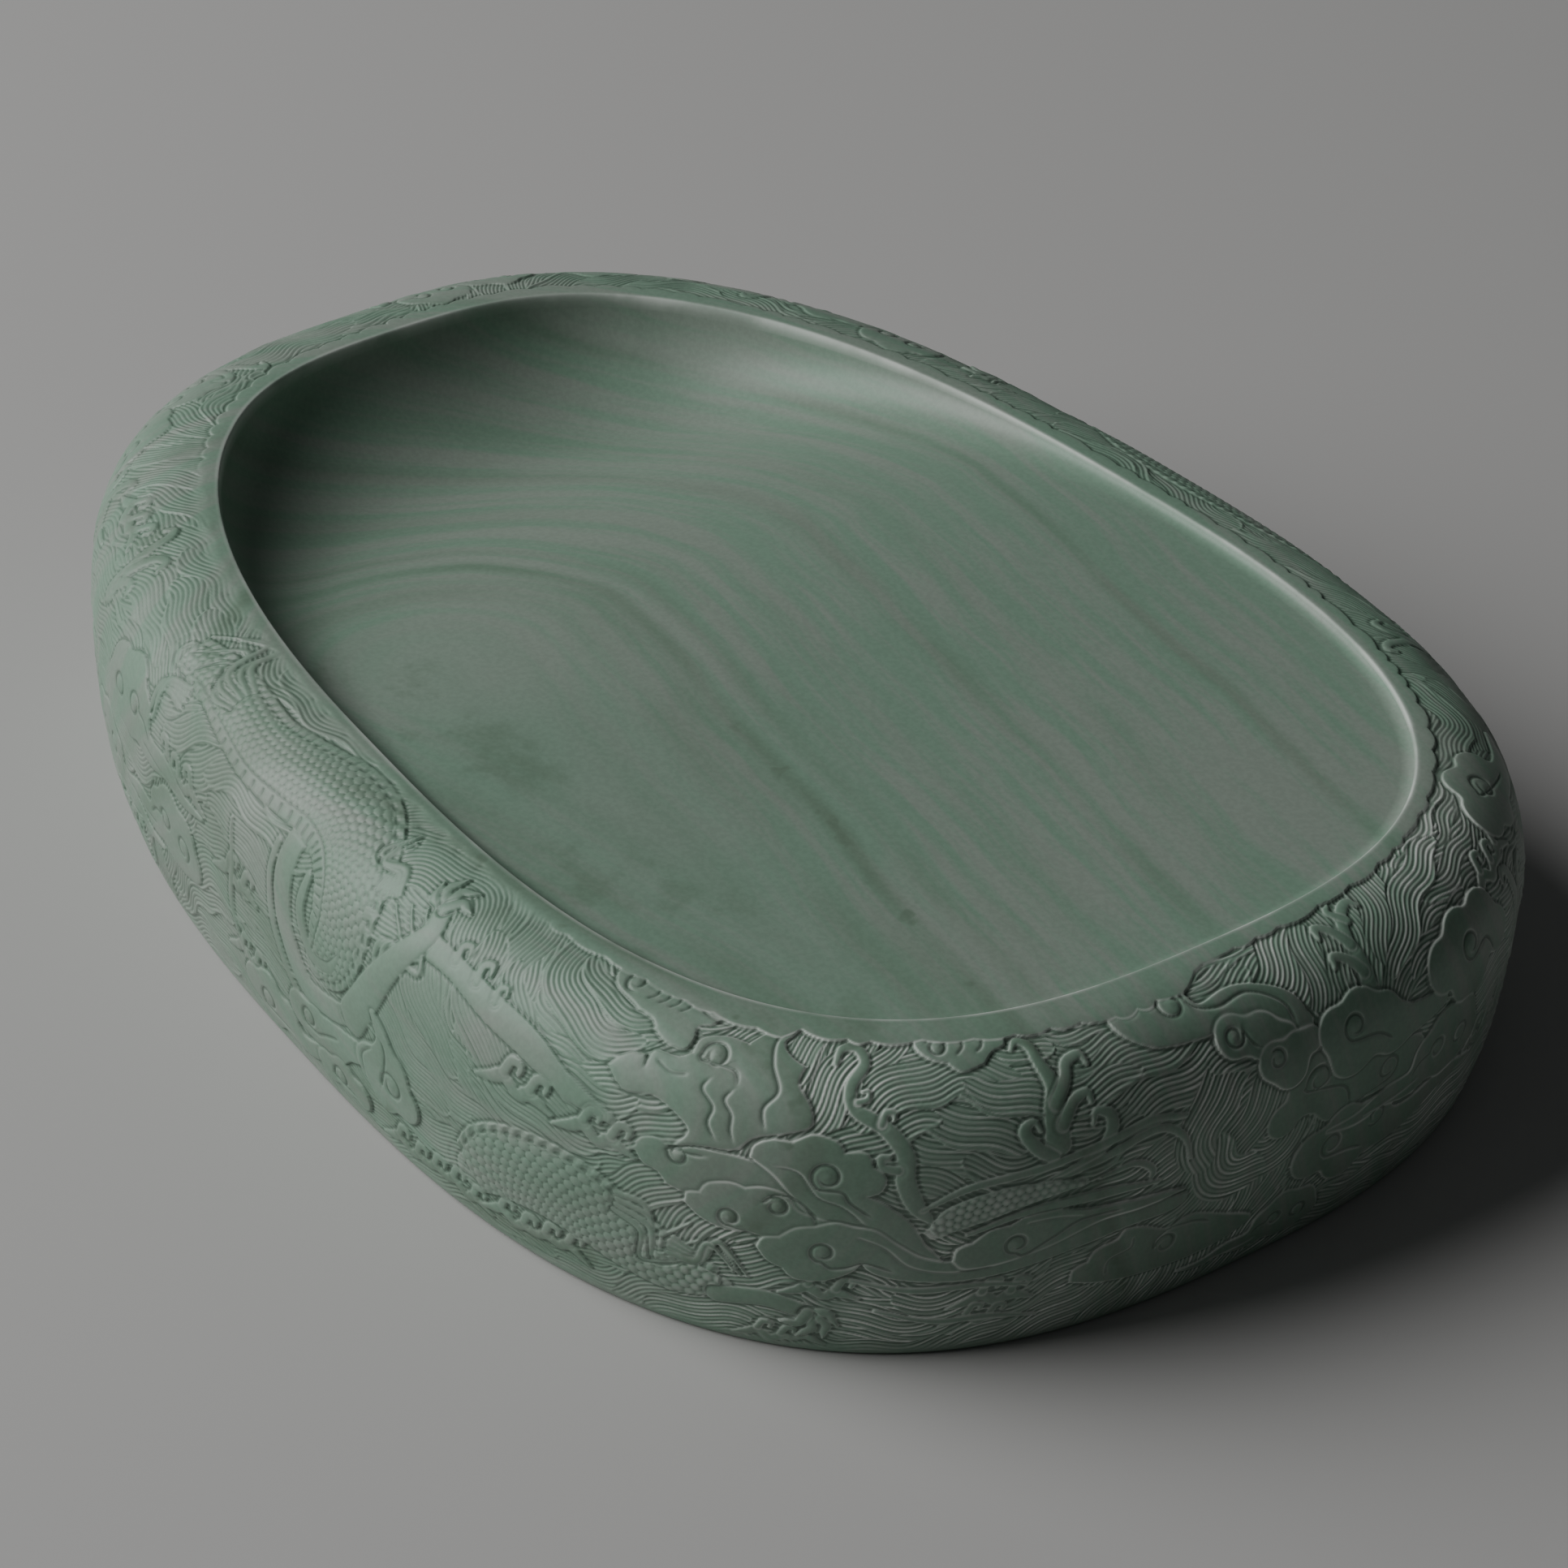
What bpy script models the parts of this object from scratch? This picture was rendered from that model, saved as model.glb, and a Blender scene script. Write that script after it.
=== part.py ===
"""Carved stone ink slab with one sloping basin: plain lip, full round wall and a flat base.

The slab is one closed stone. Its plan is an egg-shaped rounded outline. Rings follow that
outline from the base, up over the wall and the lip, down into the basin and on to the floor.
Metres, +Z up, the flat base rests on z = 0 and +X points to the shallow, broad end.
"""

import bmesh
import bpy
from math import copysign, cos, pi, sin
from mathutils import Vector

# overall size of the stone, in metres
HALF_LENGTH = 0.100
HALF_WIDTH = 0.0735
HEIGHT = 0.040

# outline: squareness of the plan, and how much broader the +X end is
PLAN_POWER = 2.6
EGG = 0.10

# outer wall: the widest level, how far the base and the basin edge stand in from it
WIDEST_Z = 0.025
BASE_INSET = 0.004
LIP_INSET = 0.015
DEEP_LIP_EXTRA = 0.0025
LOWER_POWER = 1.8
UPPER_POWER = 2.3

# basin: depth of the floor below its edge and width of the cove, at the +X and the -X end
SHALLOW_DEPTH = 0.0012
DEEP_DEPTH = 0.0142
NARROW_COVE = 0.0018
WIDE_COVE = 0.0230

# the floor is almost level as far as SINK_FROM, sinks over SINK_RUN and then levels out again
SINK_FROM = 0.012
SINK_RUN = 0.072
SINK_POWER = 2.2
SINK_END = 6.0

# the cove starts to widen at this share of the way to the deep edge
COVE_START = 0.45
COVE_GROWTH = 1.2
COVE_POWER = 2.0

# fineness of the model
AROUND = 88
LOWER_RINGS = 6
UPPER_RINGS = 9
COVE_RINGS = 7
FLOOR_RINGS = 8

STONE_COLOUR = (0.115, 0.165, 0.128, 1.0)


def clear_scene():
    for thing in list(bpy.data.objects):
        bpy.data.objects.remove(thing, do_unlink=True)


def stone_material():
    material = bpy.data.materials.new("stone")
    material.use_nodes = True
    shader = material.node_tree.nodes["Principled BSDF"]
    shader.inputs["Base Color"].default_value = STONE_COLOUR
    shader.inputs["Roughness"].default_value = 0.55
    shader.inputs["Metallic"].default_value = 0.0
    return material


def power(value, exponent):
    return copysign(abs(value) ** exponent, value)


def outline_point(angle):
    """One point of the widest plan outline."""
    radius = (abs(cos(angle)) ** PLAN_POWER + abs(sin(angle)) ** PLAN_POWER) ** (-1.0 / PLAN_POWER)
    x = HALF_LENGTH * radius * cos(angle)
    y = HALF_WIDTH * radius * sin(angle) * (1.0 + EGG * x / HALF_LENGTH)
    return Vector((x, y))


def ring_angles():
    """Angles that spread the points evenly by position rather than by direction."""
    angles = []
    for step in range(AROUND):
        turn = 2.0 * pi * step / AROUND
        angles.append(turn + 0.10 * sin(2.0 * turn) - 0.04 * sin(4.0 * turn))
    return angles


def outward(angle):
    """Unit normal of the outline, pointing away from the stone."""
    step = 0.002
    along = outline_point(angle + step) - outline_point(angle - step)
    return Vector((along.y, -along.x)).normalized()


def deep_share(x):
    """0 at the basin's shallow +X edge, 1 at its deep -X edge."""
    reach = HALF_LENGTH - LIP_INSET
    return min(max((reach - x) / (2.0 * reach), 0.0), 1.0)


def lip_inset(x):
    """The lip is a little broader around the deep end."""
    return LIP_INSET + DEEP_LIP_EXTRA * deep_share(x) ** 2


def floor_depth(x):
    """Almost level over the broad half, then sinking into the pool."""
    sink = min(max((SINK_FROM - x) / SINK_RUN, 0.0), 2.0) ** SINK_POWER
    sink = sink / (1.0 + sink ** SINK_END) ** (1.0 / SINK_END)
    return SHALLOW_DEPTH + (DEEP_DEPTH - SHALLOW_DEPTH) * sink


def cove_width(x):
    growth = min(max((deep_share(x) - COVE_START) / (1.0 - COVE_START), 0.0), 1.0)
    return NARROW_COVE + (WIDE_COVE - NARROW_COVE) * growth ** COVE_GROWTH


def base_ring(inset, height):
    """Ring of points a steady distance inside the outline, all at one height."""
    points = []
    for angle in ring_angles():
        place = outline_point(angle) - outward(angle) * inset
        points.append(Vector((place.x, place.y, height)))
    return points


def lip_ring(share, height):
    """Ring a share of the way in from the widest outline to the basin's edge."""
    points = []
    for angle in ring_angles():
        widest = outline_point(angle)
        place = widest - outward(angle) * lip_inset(widest.x) * share
        points.append(Vector((place.x, place.y, height)))
    return points


def lower_wall():
    """Rings from the base edge out to the widest level."""
    rings = []
    for step in range(LOWER_RINGS):
        turn = 0.5 * pi * (1.0 - step / LOWER_RINGS)
        inset = BASE_INSET * (1.0 - power(cos(turn), 2.0 / LOWER_POWER))
        height = WIDEST_Z * (1.0 - power(sin(turn), 2.0 / LOWER_POWER))
        rings.append(base_ring(inset, height))
    return rings


def upper_wall():
    """Rings from the widest level up and over the lip to the edge of the basin."""
    rings = []
    for step in range(UPPER_RINGS + 1):
        turn = 0.5 * pi * step / UPPER_RINGS
        share = 1.0 - power(cos(turn), 2.0 / UPPER_POWER)
        height = WIDEST_Z + (HEIGHT - WIDEST_Z) * power(sin(turn), 2.0 / UPPER_POWER)
        rings.append(lip_ring(share, height))
    return rings


def basin_ring(share):
    """Ring a share of the way across the coved inner wall, 1 being where it meets the floor."""
    fall = (1.0 - (1.0 - share) ** COVE_POWER) ** (1.0 / COVE_POWER)
    points = []
    for edge, angle in zip(lip_ring(1.0, HEIGHT), ring_angles()):
        inward = -outward(angle) * cove_width(edge.x) * share
        x = edge.x + inward.x
        y = edge.y + inward.y
        points.append(Vector((x, y, HEIGHT - floor_depth(x) * fall)))
    return points


def basin_wall():
    """Rings down the coved inner wall, closer together where it is steep."""
    rings = []
    for step in range(1, COVE_RINGS + 1):
        rings.append(basin_ring(1.0 - cos(0.5 * pi * step / COVE_RINGS)))
    return rings


def basin_floor():
    """Rings of the sinking floor, each one smaller than the last."""
    rings = []
    edge = basin_ring(1.0)
    for step in range(1, FLOOR_RINGS + 1):
        scale = 1.0 - step / (FLOOR_RINGS + 1.0)
        points = []
        for point in edge:
            x = point.x * scale
            points.append(Vector((x, point.y * scale, HEIGHT - floor_depth(x))))
        rings.append(points)
    return rings


def lofted_stone(rings):
    """Closed body: a base face, skins between the rings and the middle of the floor."""
    shape = bmesh.new()
    rows = []
    for ring in rings:
        rows.append([shape.verts.new(point) for point in ring])
    for low, high in zip(rows, rows[1:]):
        for place in range(AROUND):
            following = (place + 1) % AROUND
            shape.faces.new((low[place], low[following], high[following], high[place]))
    shape.faces.new(list(reversed(rows[0])))
    middle = shape.verts.new((0.0, 0.0, HEIGHT - floor_depth(0.0)))
    for place in range(AROUND):
        shape.faces.new((rows[-1][place], rows[-1][(place + 1) % AROUND], middle))
    bmesh.ops.recalc_face_normals(shape, faces=shape.faces)
    for face in shape.faces:
        face.smooth = len(face.verts) < 5
    return shape


def make_inkstone(collection):
    shape = lofted_stone(lower_wall() + upper_wall() + basin_wall() + basin_floor())
    mesh = bpy.data.meshes.new("inkstone")
    shape.to_mesh(mesh)
    shape.free()
    mesh.materials.append(stone_material())
    stone = bpy.data.objects.new("inkstone", mesh)
    collection.objects.link(stone)
    return stone


def main():
    clear_scene()
    collection = bpy.data.collections.new("ink_slab")
    bpy.context.scene.collection.children.link(collection)
    make_inkstone(collection)


main()
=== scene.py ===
import math

import bpy
import numpy as np
from mathutils import Matrix, Vector


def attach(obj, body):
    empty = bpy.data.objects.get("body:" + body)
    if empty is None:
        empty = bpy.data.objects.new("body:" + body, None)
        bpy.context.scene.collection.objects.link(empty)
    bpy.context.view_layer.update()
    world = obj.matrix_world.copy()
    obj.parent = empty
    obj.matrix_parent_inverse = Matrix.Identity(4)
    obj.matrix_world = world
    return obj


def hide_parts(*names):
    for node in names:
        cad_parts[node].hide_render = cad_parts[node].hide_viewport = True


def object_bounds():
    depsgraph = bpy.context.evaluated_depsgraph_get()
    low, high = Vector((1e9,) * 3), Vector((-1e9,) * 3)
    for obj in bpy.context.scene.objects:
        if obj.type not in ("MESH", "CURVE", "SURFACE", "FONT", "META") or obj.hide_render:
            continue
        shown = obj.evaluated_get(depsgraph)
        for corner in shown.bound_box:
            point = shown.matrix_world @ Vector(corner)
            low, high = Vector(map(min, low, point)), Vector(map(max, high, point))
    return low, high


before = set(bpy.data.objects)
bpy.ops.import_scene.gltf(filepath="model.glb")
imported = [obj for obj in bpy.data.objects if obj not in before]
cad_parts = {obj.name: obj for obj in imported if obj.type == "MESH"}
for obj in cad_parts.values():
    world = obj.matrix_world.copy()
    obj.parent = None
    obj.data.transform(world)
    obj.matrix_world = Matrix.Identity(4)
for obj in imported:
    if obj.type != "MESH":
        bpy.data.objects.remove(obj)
cadLow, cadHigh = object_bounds()

# Lengths in this file are millimetres until a mesh is written, which is in metres.
metre = 0.001

# The block as the frame has it. s runs round the widest outline, from the pool tip at -X and
# anticlockwise seen from above. t runs down the wall, from the basin's edge to the base.
slab = {
    "halfLength": (cadHigh.x - cadLow.x) / 2 / metre,
    "height": (cadHigh.z - cadLow.z) / metre,
    "halfWidth": 73.5,
    "squareness": 2.6,
    "egg": 0.10,
    "widestZ": 25.0,
    "baseInset": 4.0,
    "lipInset": 15.0,
    "deepLipExtra": 2.5,
    "lowerPower": 1.8,
    "upperPower": 2.3,
}

basin = {
    "shallowDepth": 1.2,
    "deepDepth": 14.2,
    "sinkFrom": 12.0,      # the floor is almost level as far as this x, and then sinks
    "sinkRun": 72.0,
    "sinkPower": 2.2,
    "sinkEnd": 6.0,
    "narrowCove": 1.8,
    "wideCove": 23.0,
    "coveStart": 0.45,
    "coveGrowth": 1.2,
    "covePower": 2.0,
    "edgeRadius": 0.30,
    "edgeRings": 5,        # faces over the rounded edge, across the cove and across the floor
    "coveRings": 32,
    "floorRings": 60,
}

tiling = {
    "tiles": 10,           # the wall is built in this many lengths, each under the triangle limit
    "columns": 304,        # faces along one length
    "rows": 288,           # faces down the wall
    "firstT": 1.0,         # the wall starts this far out on the smooth lip
    "coreColumns": 760,
}


def ease(value, low, high):
    share = np.clip((value - low) / (high - low), 0, 1)
    return share * share * (3 - 2 * share)


def bell(value, width):
    return np.exp(-(value / width) ** 2)


def outlineAt(turn):
    c = np.cos(turn)
    d = np.sin(turn)
    n = slab["squareness"]
    radius = (np.abs(c) ** n + np.abs(d) ** n) ** (-1 / n)
    x = slab["halfLength"] * radius * c
    y = slab["halfWidth"] * radius * d * (1 + slab["egg"] * x / slab["halfLength"])
    return x, y


def outlineNormal(turn):
    x0, y0 = outlineAt(turn - 0.001)
    x1, y1 = outlineAt(turn + 0.001)
    length = np.hypot(x1 - x0, y1 - y0)
    return (y1 - y0) / length, -(x1 - x0) / length


def measureOutline(steps=14400):
    turn = np.linspace(-math.pi, math.pi, steps + 1)
    x, y = outlineAt(turn)
    length = np.concatenate([[0], np.cumsum(np.hypot(np.diff(x), np.diff(y)))])
    return turn, length


outlineTurn, outlineLength = measureOutline()
girth = float(outlineLength[-1])


def turnAt(s):
    return np.interp(np.mod(s, girth), outlineLength, outlineTurn)


def deepShare(x):
    reach = slab["halfLength"] - slab["lipInset"]
    return np.clip((reach - x) / (2 * reach), 0, 1)


def lipInset(x):
    return slab["lipInset"] + slab["deepLipExtra"] * deepShare(x) ** 2


def floorDepth(x):
    sink = np.clip((basin["sinkFrom"] - x) / basin["sinkRun"], 0, 2) ** basin["sinkPower"]
    sink = sink / (1 + sink ** basin["sinkEnd"]) ** (1 / basin["sinkEnd"])
    return basin["shallowDepth"] + (basin["deepDepth"] - basin["shallowDepth"]) * sink


def coveWidth(x):
    growth = np.clip((deepShare(x) - basin["coveStart"]) / (1 - basin["coveStart"]), 0, 1)
    wider = basin["wideCove"] - basin["narrowCove"]
    return basin["narrowCove"] + wider * growth ** basin["coveGrowth"]


def measureWall(steps=1200):
    # share of the inset, extra base inset and height, against the distance down the wall
    turn = np.linspace(0.5 * math.pi, 0, steps)
    upShare = 1 - np.cos(turn) ** (2 / slab["upperPower"])
    rise = slab["height"] - slab["widestZ"]
    upZ = slab["widestZ"] + rise * np.sin(turn) ** (2 / slab["upperPower"])
    turn = np.linspace(0, 0.5 * math.pi, steps)[1:]
    lowInset = slab["baseInset"] * (1 - np.cos(turn) ** (2 / slab["lowerPower"]))
    lowZ = slab["widestZ"] * (1 - np.sin(turn) ** (2 / slab["lowerPower"]))
    share = np.concatenate([upShare, np.zeros_like(lowInset)])
    inset = np.concatenate([np.zeros_like(upShare), lowInset])
    z = np.concatenate([upZ, lowZ])
    across = share * slab["lipInset"] + inset
    length = np.concatenate([[0], np.cumsum(np.hypot(np.diff(across), np.diff(z)))])
    return length, share, inset, z


wallLength, wallShare, wallInset, wallZ = measureWall()
wallDepth = float(wallLength[-1])


def wallPoint(s, t):
    # a point of the plain block's wall, t down from the basin's edge
    turn = turnAt(s)
    x, y = outlineAt(turn)
    nx, ny = outlineNormal(turn)
    into = np.interp(t, wallLength, wallShare) * lipInset(x) + np.interp(t, wallLength, wallInset)
    return x - nx * into, y - ny * into, np.interp(t, wallLength, wallZ) + 0.0 * x


# The carving is a height over the (s, t) grid of the wall: 0 is the smooth lip, minus is cut away.
carving = {
    "ground": -0.27,       # mean depth of the water
    "ditch": 0.06,         # cut at the foot of a raised shape
    "notchFill": 1.3,      # how far the notches between lobes are filled
    "cutDust": 0.70,       # pale dust along cut lines
    "paleElsewhere": 0.08,
    "fadeAtBase": (46.8, 49.2),
    "seed": 7,
}
gridColumns = tiling["tiles"] * tiling["columns"]
gridS = np.arange(gridColumns) * girth / gridColumns
gridT = np.linspace(tiling["firstT"], wallDepth, tiling["rows"] + 1)
height = np.full((len(gridT), gridColumns), carving["ground"])
dustAndHighlight = np.zeros((len(gridT), gridColumns))    # pale dust on rims and cut lines and painted highlight on crests, 0 to 1
chance = np.random.default_rng(carving["seed"])


def patch(sLow, sHigh, tLow, tHigh):
    # the grid's cells in a window that may cross the seam, with their s and t
    step = girth / gridColumns
    first = int(math.floor(sLow / step))
    last = int(math.ceil(sHigh / step))
    columns = np.arange(first, last + 1)
    rows = np.where((gridT >= tLow) & (gridT <= tHigh))[0]
    s, t = np.meshgrid(columns * step, gridT[rows])
    return np.ix_(rows, columns % gridColumns), s, t


def smoothPath(points, step=0.6):
    # a smooth line through given points, with any further values blended along it
    points = np.array(points, float)
    padded = np.vstack([2 * points[0] - points[1], points, 2 * points[-1] - points[-2]])
    out = []
    for i in range(len(points) - 1):
        a, b, c, d = padded[i:i + 4]
        count = max(2, int(np.hypot(*(c - b)[:2]) / step))
        for share in np.arange(count) / count:
            q = share * share
            p = q * share
            bend = (2 * a - 5 * b + 4 * c - d) * q
            out.append(0.5 * (2 * b + (c - a) * share + bend + (3 * b - a - 3 * c + d) * p))
    out.append(points[-1])
    return np.array(out)


def along(s, t, path):
    # distance along a path, signed distance across it, and the path's own length
    a = path[:-1, :2]
    step = path[1:, :2] - a
    size = np.hypot(step[:, 0], step[:, 1]) + 1e-9
    start = np.concatenate([[0], np.cumsum(size)[:-1]])
    bestD = np.full(s.shape, 1e9)
    bestU = np.zeros(s.shape)
    bestV = np.zeros(s.shape)
    for i in range(len(a)):
        ds = s - a[i, 0]
        dt = t - a[i, 1]
        run = np.clip((ds * step[i, 0] + dt * step[i, 1]) / size[i], 0, size[i])
        gapS = ds - run * step[i, 0] / size[i]
        gapT = dt - run * step[i, 1] / size[i]
        d = np.hypot(gapS, gapT)
        nearer = d < bestD
        bestD = np.where(nearer, d, bestD)
        bestU = np.where(nearer, start[i] + run, bestU)
        side = np.sign(step[i, 0] * gapT - step[i, 1] * gapS)
        bestV = np.where(nearer, d * side, bestV)
    return bestU, bestV, float(start[-1] + size[-1])


def onward(place, reach, angle):
    return place[0] + reach * math.cos(angle), place[1] + reach * math.sin(angle)


def boxOf(path, margin):
    low = path[:, :2].min(0) - margin
    high = path[:, :2].max(0) + margin
    return low[0], high[0], low[1], high[1]


water = {
    "pitch": 0.66,
    "groove": 0.105,
    "strokeLength": 30.0,
    "strokeHalfWidth": 3.4,
    "lean": 0.14,
    "sway": 0.55,
    "swayLength": 11.0,
    "level": -0.40,
    "swell": (7, 17.0, 0.62),       # turns round the stone, mm of drift down the wall, strength
    "ripple": (16, 9.0, 0.30),
    "steep": ((188.0, 16.0, 1.1), (132.0, 14.0, 0.9)),      # where it falls: s, width, strength
}


def flowAngle(s, t):
    turn = 2 * math.pi * s / girth
    angle = 0.0
    for middle, width, rise in water["steep"]:
        angle += rise * math.exp(-((s - middle) / width) ** 2)
    count, drift, swing = water["swell"]
    angle += water["level"] + swing * math.sin(turn * count + t / drift)
    count, drift, swing = water["ripple"]
    return angle + swing * math.sin(turn * count + t / drift + 1)


def flowPath(s, t, length):
    # a line that follows the water's flow both ways from a point
    points = [(s, t)]
    for way in (-1, 1):
        p = (s, t)
        for _ in range(int(length / 2)):
            angle = flowAngle(*p)
            p = onward(p, way, angle)
            points = [p] + points if way < 0 else points + [p]
    return np.array(points)


def comb(path, half, pale=0.8):
    # one overlapping stroke of fine parallel grooves, like combed hair
    cells, s, t = patch(*boxOf(path, half))
    if s.size == 0:
        return
    u, v, length = along(s, t, path)
    v = v + water["sway"] * np.sin(2 * math.pi * u / water["swayLength"] + 1.7 * path[0, 0])
    share = u / length
    wide = half * np.clip(4 * share * (1 - share), 0, 1) ** 0.45
    inside = ease(wide - np.abs(v), -0.08, 0.18)
    ridge = 0.5 + 0.5 * np.cos(2 * math.pi * v / water["pitch"])
    line = np.floor(v / water["pitch"] + 0.5)
    paler = 0.60 + 0.40 * np.sin(2.4 * line + 0.22 * u + path[0, 0])
    lean = water["lean"] * 0.5 * (v / half)
    crest = 0.09 * bell(v - wide + 0.35, 0.30)
    level = carving["ground"] + lean + crest + water["groove"] * (ridge - 0.6)
    height[cells] = height[cells] * (1 - inside) + level * inside
    # painted highlight: the crests of the water's grooves are laid pale
    dustAndHighlight[cells] = dustAndHighlight[cells] * (1 - inside) + 2 * pale * paler * ridge ** 2.5 * inside


def combWater():
    rows = 13
    columns = int(girth / 10)
    places = []
    for i in range(columns):
        for j in range(rows):
            places.append((girth * (i + 0.5 * (j % 2)) / columns, 2 + 48 * j / (rows - 1)))
    places = np.array(places) + chance.uniform(-1.6, 1.6, (len(places), 2))
    for s, t in places[chance.permutation(len(places))]:
        path = flowPath(s, t, water["strokeLength"] * chance.uniform(0.7, 1.2))
        comb(path, water["strokeHalfWidth"] * chance.uniform(0.7, 1.2), chance.uniform(0.45, 1))


def whirl(s, t, radius):
    # rings of water round one point
    for part in range(5):
        start = 1.35 * part
        turns = np.linspace(start, start + 2, 26)
        reach = radius * (0.45 + 0.14 * part)
        path = np.stack([s + reach * np.cos(turns), t + reach * np.sin(turns)], -1)
        comb(path, 0.28 * radius, 0.8)


def lay(cells, edge, top, rim=0.75):
    # puts a raised shape down where edge is below zero, with a cut at its foot and a pale rim
    inside = ease(-edge, -0.10, 0.14)
    foot = carving["ditch"] * bell(edge - 0.26, 0.22)
    height[cells] = height[cells] * (1 - inside) + top * inside - foot * (1 - inside)
    paleMark = rim * bell(edge + 0.02, 0.16)
    dustAndHighlight[cells] = np.maximum(dustAndHighlight[cells] * (1 - inside), paleMark)


def joined(a, b):
    # the smaller of two distances, with the notch where they meet partly filled
    reach = carving["notchFill"]
    near = np.clip(1 - np.abs(a - b) / reach, 0, 1)
    return np.minimum(a, b) - 0.25 * reach * near ** 2


def plate(lobes, level=0, tail=None):
    # a smooth flat plate: the union of round lobes, and a tapering tail if one is given
    lobes = np.array(lobes, float)
    low = (lobes[:, :2] - lobes[:, 2:3]).min(0) - 1
    high = (lobes[:, :2] + lobes[:, 2:3]).max(0) + 1
    if tail is not None:
        tail = smoothPath(tail)
        low = np.minimum(low, (tail[:, :2] - tail[:, 2:3]).min(0) - 1)
        high = np.maximum(high, (tail[:, :2] + tail[:, 2:3]).max(0) + 1)
    cells, s, t = patch(low[0], high[0], low[1], high[1])
    edge = np.full(s.shape, 1e9)
    for lobeS, lobeT, radius in lobes:
        edge = joined(edge, np.hypot(s - lobeS, t - lobeT) - radius)
    if tail is not None:
        u, v, length = along(s, t, tail)
        wide = np.interp(u, np.linspace(0, length, len(tail)), tail[:, 2])
        edge = joined(edge, np.abs(v) - wide)
    lay(cells, edge, level - 0.07 * np.exp(np.minimum(edge, 0) / 0.40), 0.80)


def sheet(points, level=0):
    # a smooth flat plate with a given outline; a point with a third value is a sharp notch
    outline = [point[:2] for point in points for _ in range(len(point) - 1)]
    path = smoothPath(outline + outline[:1], 0.5)
    cells, s, t = patch(*boxOf(path, 1))
    v = along(s, t, path)[1]
    inside = np.zeros(s.shape, bool)
    for (aS, aT), (bS, bT) in zip(path[:-1], path[1:]):
        if aT != bT:
            crosses = ((aT > t) != (bT > t)) & (s < aS + (t - aT) * (bS - aS) / (bT - aT))
            inside ^= crosses
    edge = np.where(inside, -np.abs(v), np.abs(v))
    top = level - 0.09 * np.exp(np.minimum(edge, 0) / 0.45)
    lay(cells, edge, top, 0.85)


def groove(points, depth=0.15, halfWidth=0.24, step=0):
    # a cut line; with a step, the surface on its left is let down as well
    path = smoothPath(points, 0.3)
    cells, s, t = patch(*boxOf(path, 2.2 if step else 0.9))
    u, v, length = along(s, t, path)
    run = 2.2 if step else 0.9
    taper = ease(u, 0, run) * ease(length - u, 0, run)
    line = bell(v, halfWidth) * taper
    cut = depth * line
    if step:
        cut = cut + step * np.where(v > 0, bell(v, 0.9), 0) * taper
    height[cells] -= cut
    paleMark = carving["cutDust"] * bell(v + 0.10, 0.17)
    dustAndHighlight[cells] = np.maximum(dustAndHighlight[cells], paleMark * taper)


def curl(s, t, radius, start=0, turns=1.3, way=1, lead=None):
    # a spiral cut into a plate, with a low pearl in its middle, and a line that leads into it
    points = list(lead) if lead else []
    count = int(16 * turns)
    for i in range(count + 1):
        share = i / count
        angle = math.radians(start) + way * 2 * math.pi * turns * share
        r = radius * (1 - 0.60 * share)
        points.append(onward((s, t), r, angle))
    groove(points, 0.17, 0.25, step=0.06)
    cells, nearS, nearT = patch(s - radius, s + radius, t - radius, t + radius)
    d = np.hypot(nearS - s, nearT - t)
    height[cells] += 0.09 * bell(d, 0.42 * radius)


def finger(points, level=-0.10, dome=0.16, rim=0.60):
    # a raised, tapering stem; each point is s, t and half width
    path = smoothPath(points, 0.35)
    widest = path[:, 2].max()
    cells, s, t = patch(*boxOf(path, widest + 1))
    u, v, length = along(s, t, path)
    wide = np.interp(u, np.linspace(0, length, len(path)), path[:, 2])
    round_ = np.sqrt(np.clip(1 - (v / wide) ** 2, 0, 1))
    lay(cells, np.abs(v) - wide, level + dome * (round_ - 1), rim)


def hook(s, t, size, aim, way=1):
    # one small curling tip of spray
    a = math.radians(aim)
    b = a + way * math.radians(70)
    c = a + way * math.radians(165)
    at = (s, t)
    path = [(s, t, 0.55 * size)]
    for angle, reach, half in ((a, 1.6, 0.50), (b, 1.1, 0.42), (c, 0.9, 0.28)):
        at = onward(at, reach * size, angle)
        path.append((*at, half * size))
    finger(path, -0.10, 0.14)


def spray(s, t, size=1, way=1):
    # a stem of spray that splits into curling tips
    def at(ds, dt, half):
        return (s + way * ds * size, t + dt * size, half * size)
    finger([at(0, 1.5, 1.6), at(0.2, -3, 1.1), at(-0.6, -6, 0.85), at(-1.4, -8.4, 0.75),
        at(-2.8, -9.2, 0.6), at(-3.5, -8.2, 0.4)])
    finger([at(0.5, -2, 1), at(1.5, -4.6, 0.8), at(2.6, -6.6, 0.7), at(4.3, -7.2, 0.6),
        at(5, -6, 0.4)])
    finger([at(0.4, 0.4, 0.9), at(2.2, -1.6, 0.7), at(3.8, -1.9, 0.6), at(4.3, -0.8, 0.35)])


def surf(s, t, count, size=1, way=1):
    # a low bank of foam whose crest breaks into a row of hooks
    pitch = 3.6 * way * size
    foot = [(s - 1.1 * pitch, t + 2.4 * size, 0.25 * size)]
    for i in range(count):
        rise = 0.5 * math.sin(1.7 * i)
        foot.append((s + pitch * (i - 0.45), t + rise + 1.5 * size, 0.75 * size))
        foot.append((s + pitch * i, t + rise + 0.7 * size, 0.85 * size))
    foot.append((s + pitch * (count - 0.2), t + 2.2 * size, 0.25 * size))
    finger(foot, -0.10, 0.14)
    for i in range(count):
        hook(s + pitch * i, t + 0.5 * math.sin(1.7 * i), 1.15 * size, -62 if way > 0 else -118, way)


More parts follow.
